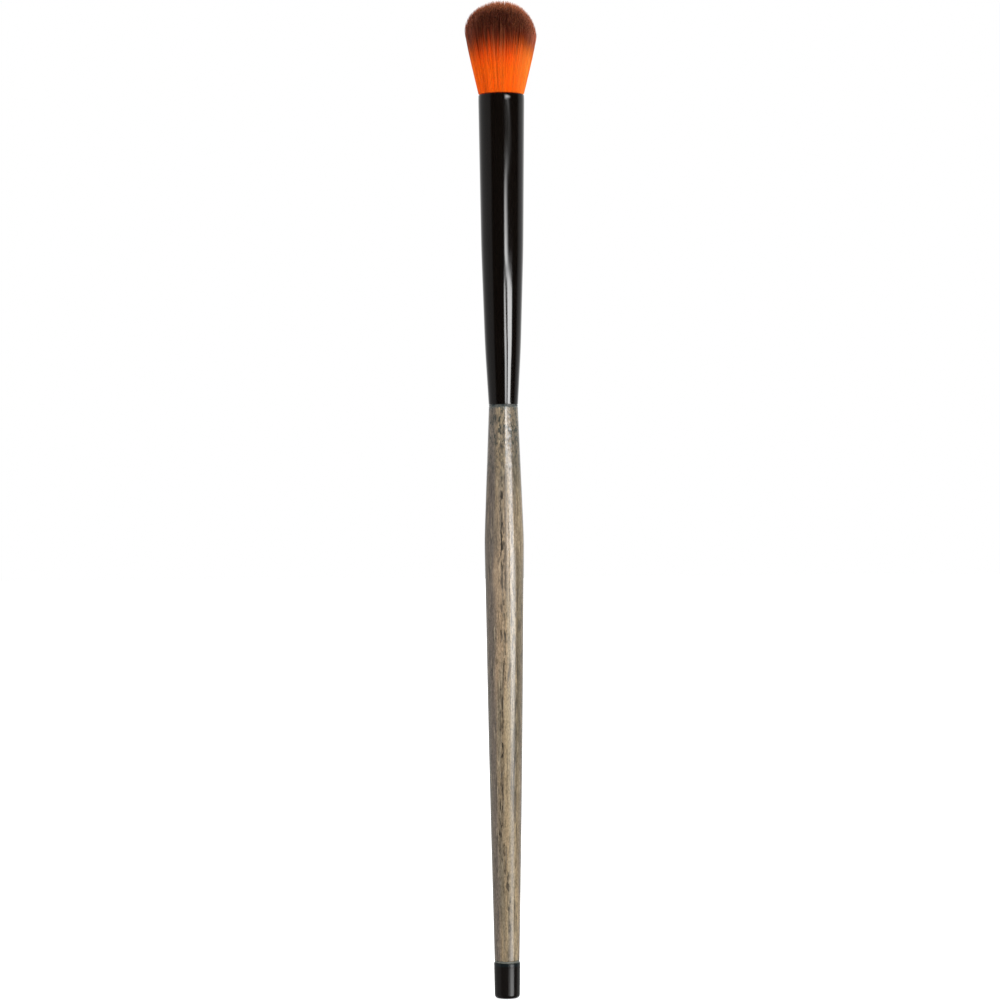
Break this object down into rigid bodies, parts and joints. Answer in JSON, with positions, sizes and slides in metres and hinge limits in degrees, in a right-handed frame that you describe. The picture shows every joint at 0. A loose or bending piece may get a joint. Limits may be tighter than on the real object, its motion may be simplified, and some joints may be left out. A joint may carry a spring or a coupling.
{
  "type": "blending brush",
  "caption": "Slim make-up brush: a domed tuft of orange fibres with brown tips, a flared black ferrule, a lacquered wooden handle and a black end cap.",
  "frame": {"origin": "middle of the flat end of the end cap, where the upright brush would touch a table", "axes": "+Z along the brush, from the end cap to the tips of the bristles; -Y is the side that the picture shows; +X is to that view's right"},
  "size_m": [0.013, 0.0129, 0.18],
  "materials": {
    "cap_black": "gloss",
    "joint_glue": "satin",
    "lacquered_wood": "gloss",
    "ferrule_black": "gloss",
    "epoxy": "satin",
    "thread": "matte",
    "bristle": "satin"
  },
  "bodies": {
    "root": {"end_cap": "cap_black", "cap_glue": "joint_glue", "handle": "lacquered_wood", "tenon_glue": "joint_glue", "ferrule": "ferrule_black", "epoxy_plug": "epoxy", "binding_thread": "thread", "bristle_tuft": "bristle"}
  },
  "joints": []
}
